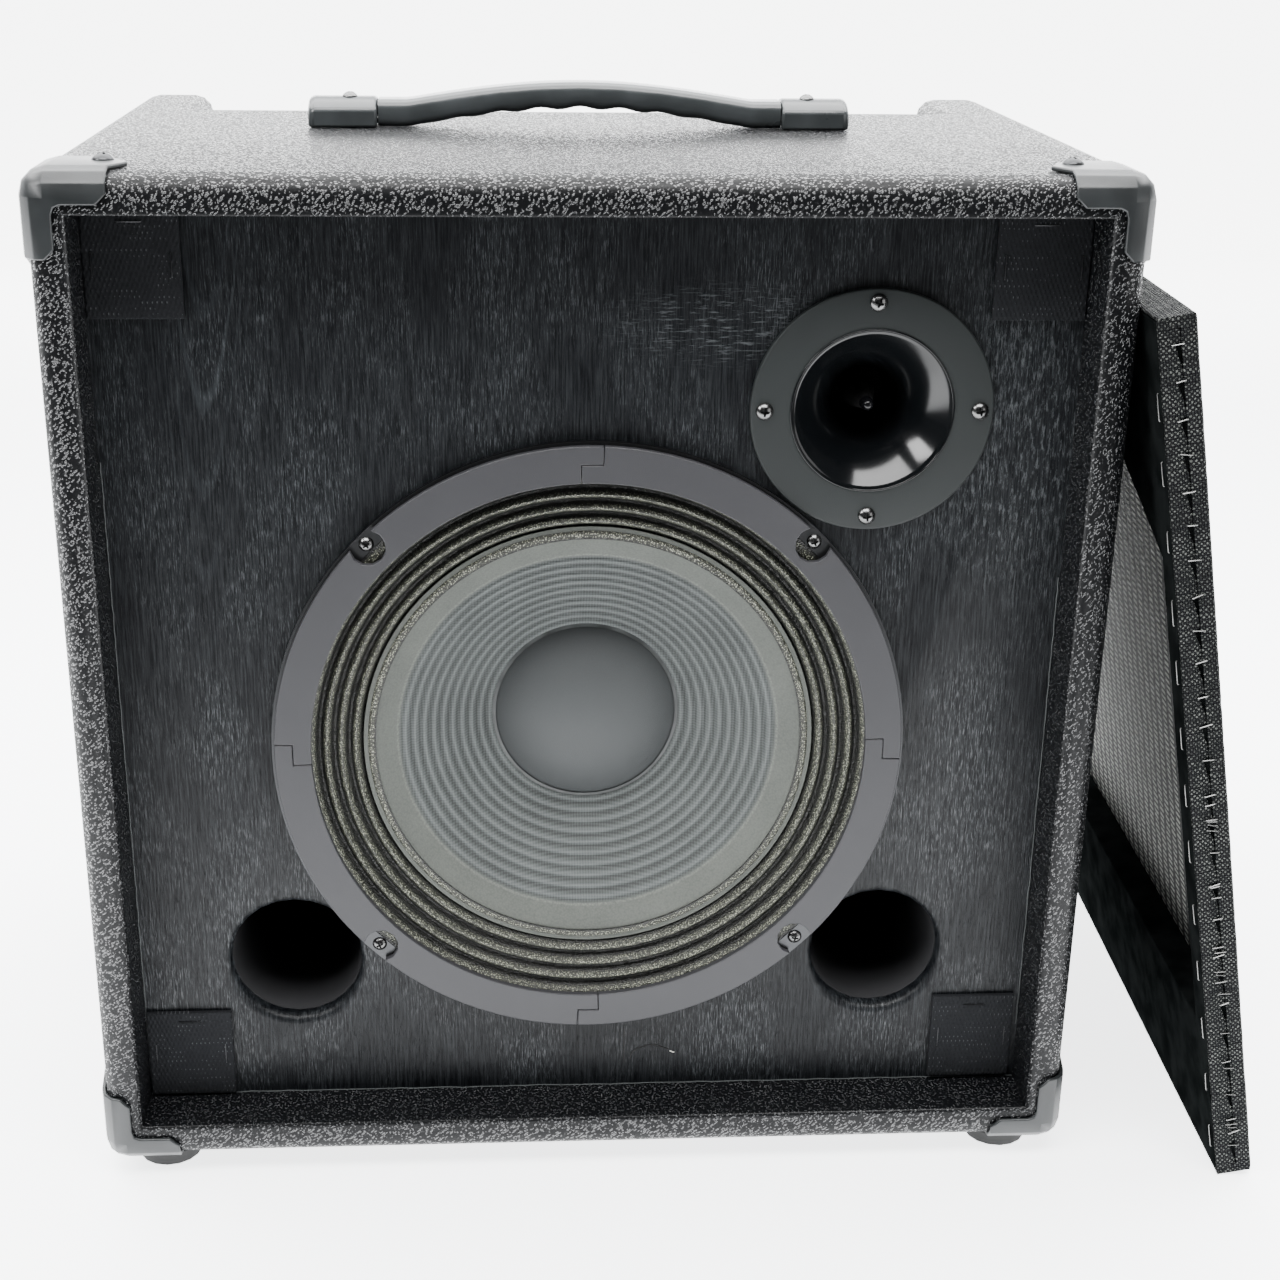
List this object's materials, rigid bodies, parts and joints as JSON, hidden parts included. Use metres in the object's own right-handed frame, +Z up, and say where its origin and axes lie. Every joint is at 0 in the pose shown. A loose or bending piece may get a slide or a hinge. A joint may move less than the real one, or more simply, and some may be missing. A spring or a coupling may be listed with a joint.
{
  "type": "bass combo amplifier",
  "caption": "Compact vinyl-covered bass combo cabinet with a woofer, horn and ports behind an open mouth, controls in a rear top bay, and its cloth grille leant on one side.",
  "frame": {"origin": "centre of the underside of the whole object's box, on the floor", "axes": "+X to the cabinet's right as seen from the front, -Y out of its front, +Z up"},
  "size_m": [0.613, 0.4586, 0.529],
  "materials": {
    "vinyl": "embossed vinyl with a hard sheen",
    "plywood": "bare plywood",
    "baffle_paint": "black paint on wood, with its grain showing",
    "corner_plastic": "moulded grey plastic with a fine texture",
    "foot_rubber": "moulded rubber",
    "basket_steel": "black stove enamel",
    "gasket_paper": "pressed fibre with a velvety surface",
    "doped_cloth": "cloth soaked in a glossy damping compound",
    "cone_paper": "grey paper pulp with pressed ring ribs",
    "copper": "enamelled copper winding",
    "ferrite": "dark ceramic and cast metal",
    "zinc": "zinc plate",
    "horn_plastic": "black moulded plastic with a glossy bowl",
    "cardboard": "wound cardboard",
    "loop_felt": "loop side of a hook and loop fastener",
    "chassis_steel": "bare sheet steel",
    "panel_paint": "black powder coat",
    "fibre_board": "green lacquered glass fibre board",
    "knob_plastic": "black moulded plastic",
    "button_plastic": "light grey moulded plastic",
    "socket_plastic": "black moulded plastic",
    "bright_metal": "nickel plate",
    "grille_wood": "dark stained board with a matt spray coat",
    "speaker_cloth": "black open weave"
  },
  "bodies": {
    "cabinet": {"vinyl_covering": "vinyl", "top_board": "plywood", "bottom_board": "plywood", "left_side_board": "plywood", "right_side_board": "plywood", "baffle_board": "baffle_paint", "back_panel": "baffle_paint", "protector_front_top_left": "corner_plastic", "protector_front_top_right": "corner_plastic", "protector_front_bottom_left": "corner_plastic", "protector_front_bottom_right": "corner_plastic", "protector_rear_bottom_left": "corner_plastic", "protector_rear_bottom_right": "corner_plastic", "foot_front_left": "foot_rubber", "foot_front_right": "foot_rubber", "foot_rear_left": "foot_rubber", "foot_rear_right": "foot_rubber", "handle_cap_left": "corner_plastic", "handle_cap_right": "corner_plastic", "gasket_top_right": "gasket_paper", "gasket_top_left": "gasket_paper", "gasket_bottom_left": "gasket_paper", "gasket_bottom_right": "gasket_paper", "woofer_basket": "basket_steel", "surround": "doped_cloth", "spider": "speaker_cloth", "magnet": "ferrite", "yoke": "zinc", "horn": "horn_plastic", "horn_driver": "ferrite", "port_tube_left": "cardboard", "port_tube_right": "cardboard", "loop_pad_top_left": "loop_felt", "loop_pad_top_right": "loop_felt", "loop_pad_bottom_left": "loop_felt", "loop_pad_bottom_right": "loop_felt", "chassis": "chassis_steel", "control_panel": "panel_paint", "circuit_board": "fibre_board", "switch_housing": "socket_plastic", "input_jack": "bright_metal", "di_socket": "bright_metal", "mains_inlet": "socket_plastic", "mains_transformer": "ferrite", "heatsink": "chassis_steel"},
    "cone": {"cone": "cone_paper", "dust_cap": "cone_paper", "voice_coil": "copper"},
    "strap": {"handle_strap": "corner_plastic"},
    "grille": {"grille_frame": "grille_wood", "grille_cloth": "speaker_cloth"},
    "rocker": {"rocker": "socket_plastic"},
    "button_left": {"push_button_left": "button_plastic"},
    "button_right": {"push_button_right": "button_plastic"},
    "knob_gain": {"knob_gain": "knob_plastic"},
    "knob_bass": {"knob_bass": "knob_plastic"},
    "knob_middle": {"knob_middle": "knob_plastic"},
    "knob_treble": {"knob_treble": "knob_plastic"},
    "knob_volume": {"knob_volume": "knob_plastic"}
  },
  "joints": [
    {"name": "cone_travel", "type": "slide", "parent": "cabinet", "child": "cone", "axis": [0, -1, 0], "range_m": [-0.004, 0.004], "stiffness_N_per_m": 2000, "deforming": ["surround", "spider"]},
    {"name": "strap_lift", "type": "slide", "parent": "cabinet", "child": "strap", "axis": [0, 0, 1], "range_m": [0, 0.003]},
    {"name": "grille_removal", "type": "slide", "parent": "cabinet", "child": "grille", "axis": [0.7071, 0, 0.7071], "range_m": [0, 0.3]},
    {"name": "rocker_tip", "type": "hinge", "parent": "cabinet", "child": "rocker", "pos_m": [0.09903, 0.09861, 0.47213], "axis": [1, 0, 0], "range_deg": [-22, 0]},
    {"name": "button_press_left", "type": "slide", "parent": "cabinet", "child": "button_left", "axis": [0, -0.2756, -0.9613], "range_m": [0, 0.0025], "stiffness_N_per_m": 400},
    {"name": "button_press_right", "type": "slide", "parent": "cabinet", "child": "button_right", "axis": [0, -0.2756, -0.9613], "range_m": [0, 0.0025], "stiffness_N_per_m": 400},
    {"name": "turn_gain", "type": "hinge", "parent": "cabinet", "child": "knob_gain", "pos_m": [-0.17697, 0.09861, 0.47213], "axis": [0, 0.2756, 0.9613], "range_deg": [-150, 150]},
    {"name": "turn_bass", "type": "hinge", "parent": "cabinet", "child": "knob_bass", "pos_m": [-0.13498, 0.09861, 0.47213], "axis": [0, 0.2756, 0.9613], "range_deg": [-150, 150]},
    {"name": "turn_middle", "type": "hinge", "parent": "cabinet", "child": "knob_middle", "pos_m": [-0.09298, 0.09861, 0.47213], "axis": [0, 0.2756, 0.9613], "range_deg": [-150, 150]},
    {"name": "turn_treble", "type": "hinge", "parent": "cabinet", "child": "knob_treble", "pos_m": [-0.05097, 0.09861, 0.47213], "axis": [0, 0.2756, 0.9613], "range_deg": [-150, 150]},
    {"name": "turn_volume", "type": "hinge", "parent": "cabinet", "child": "knob_volume", "pos_m": [-0.00898, 0.09861, 0.47213], "axis": [0, 0.2756, 0.9613], "range_deg": [-150, 150]}
  ]
}
